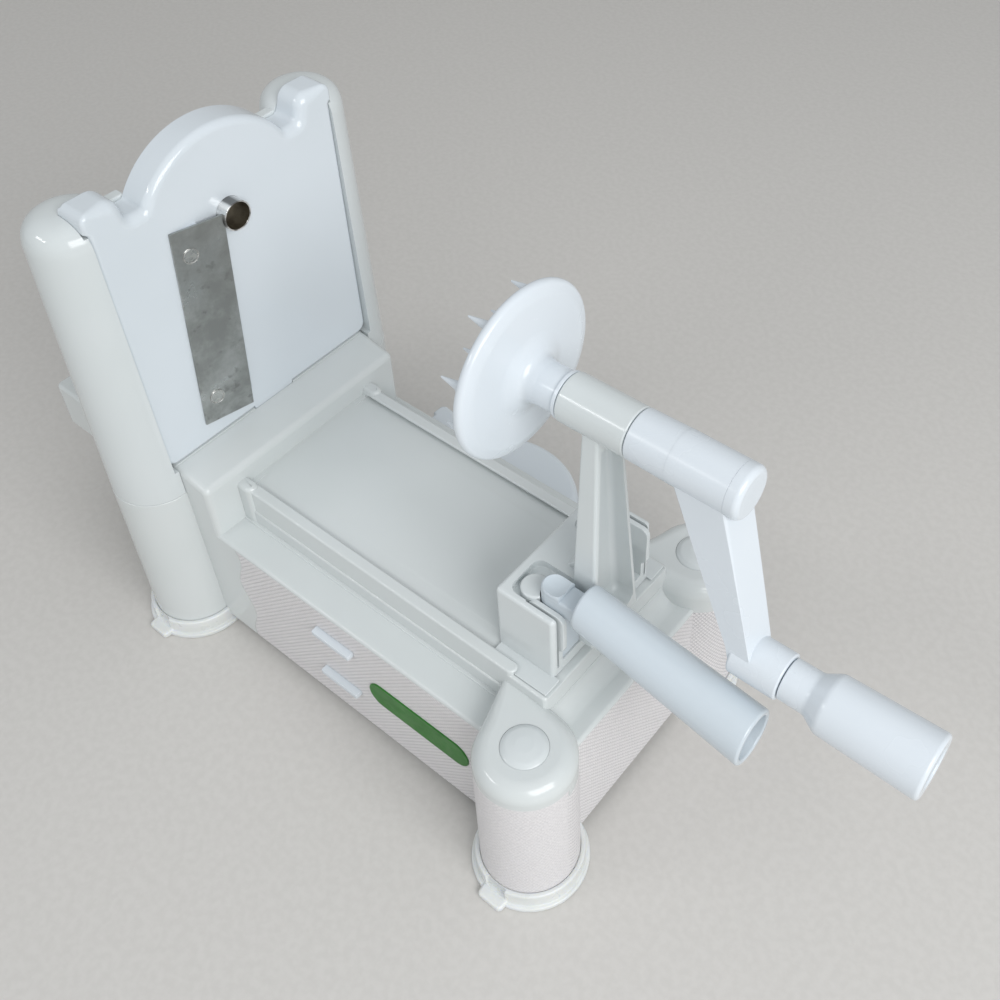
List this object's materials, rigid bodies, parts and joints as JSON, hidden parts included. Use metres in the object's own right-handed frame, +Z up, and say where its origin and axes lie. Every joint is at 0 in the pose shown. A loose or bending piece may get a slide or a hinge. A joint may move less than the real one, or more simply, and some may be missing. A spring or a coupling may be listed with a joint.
{
  "type": "hand cranked vegetable spiralizer",
  "caption": "Hand-cranked vegetable spiralizer: blade plate between two columns, sliding carriage with spiked disc, crank and side handle, suction feet and stored spare plates.",
  "frame": {"origin": "middle of the machine's overall footprint, on the table", "axes": "+X along the spindle from the blade plate to the crank, +Y across to the side where the spare plates come out, +Z up"},
  "size_m": [0.377, 0.151, 0.219],
  "materials": {
    "base_plastic": "glossy cool white moulded ABS",
    "plate_plastic": "glossy cool white moulded ABS",
    "crank_plastic": "satin bluish white moulded ABS",
    "bush_plastic": "natural acetal",
    "cup_rubber": "translucent creamy white soft vinyl",
    "blade_steel": "mottled stainless steel",
    "tube_chrome": "polished stainless tube",
    "steel": "plain bright steel",
    "badge_green": "printed green foil, plain"
  },
  "bodies": {
    "base": {"base_shell": "base_plastic", "tower_frame": "base_plastic", "near_tower_screw": "steel", "far_tower_screw": "steel", "near_leg_plug": "base_plastic", "far_leg_plug": "base_plastic", "near_front_cup": "cup_rubber", "far_front_cup": "cup_rubber", "near_rear_cup": "cup_rubber", "far_rear_cup": "cup_rubber", "badge": "badge_green"},
    "ribbon_plate": {"ribbon_plate": "plate_plastic", "ribbon_blade": "blade_steel", "ribbon_rivets": "steel", "ribbon_coring_tube": "tube_chrome"},
    "fine_plate": {"fine_plate": "plate_plastic", "fine_blade": "blade_steel", "fine_rivets": "steel", "fine_coring_tube": "tube_chrome", "fine_comb": "blade_steel"},
    "coarse_plate": {"coarse_plate": "plate_plastic", "coarse_blade": "blade_steel", "coarse_rivets": "steel", "coarse_coring_tube": "tube_chrome", "coarse_comb": "blade_steel"},
    "carriage": {"carriage": "base_plastic", "front_bush": "bush_plastic", "rear_bush": "bush_plastic"},
    "side_handle": {"side_handle": "crank_plastic"},
    "spindle": {"spiked_disc": "crank_plastic", "drive_shaft": "steel", "crank_collar": "crank_plastic", "crank_arm": "crank_plastic", "crank_screw": "steel", "crank_cap": "crank_plastic", "grip_pin": "steel"},
    "crank_grip": {"crank_grip": "crank_plastic"}
  },
  "joints": [
    {"name": "carriage_slide", "type": "slide", "parent": "base", "child": "carriage", "axis": [1, 0, 0], "range_m": [-0.116, 0]},
    {"name": "crank_spin", "type": "hinge", "parent": "carriage", "child": "spindle", "pos_m": [0.06795, -0.00055, 0.185], "axis": [1, 0, 0], "continuous": true},
    {"name": "grip_spin", "type": "hinge", "parent": "spindle", "child": "crank_grip", "pos_m": [0.16495, -0.00551, 0.1234], "axis": [1, 0, 0], "continuous": true},
    {"name": "side_handle_release", "type": "slide", "parent": "carriage", "child": "side_handle", "axis": [1, 0, 0], "range_m": [0, 0.015]},
    {"name": "ribbon_plate_lift", "type": "slide", "parent": "base", "child": "ribbon_plate", "axis": [0, 0, 1], "range_m": [0, 0.12]},
    {"name": "fine_plate_draw", "type": "slide", "parent": "base", "child": "fine_plate", "axis": [0, 1, 0], "range_m": [0, 0.12]},
    {"name": "coarse_plate_draw", "type": "slide", "parent": "base", "child": "coarse_plate", "axis": [0, 1, 0], "range_m": [0, 0.12]}
  ]
}
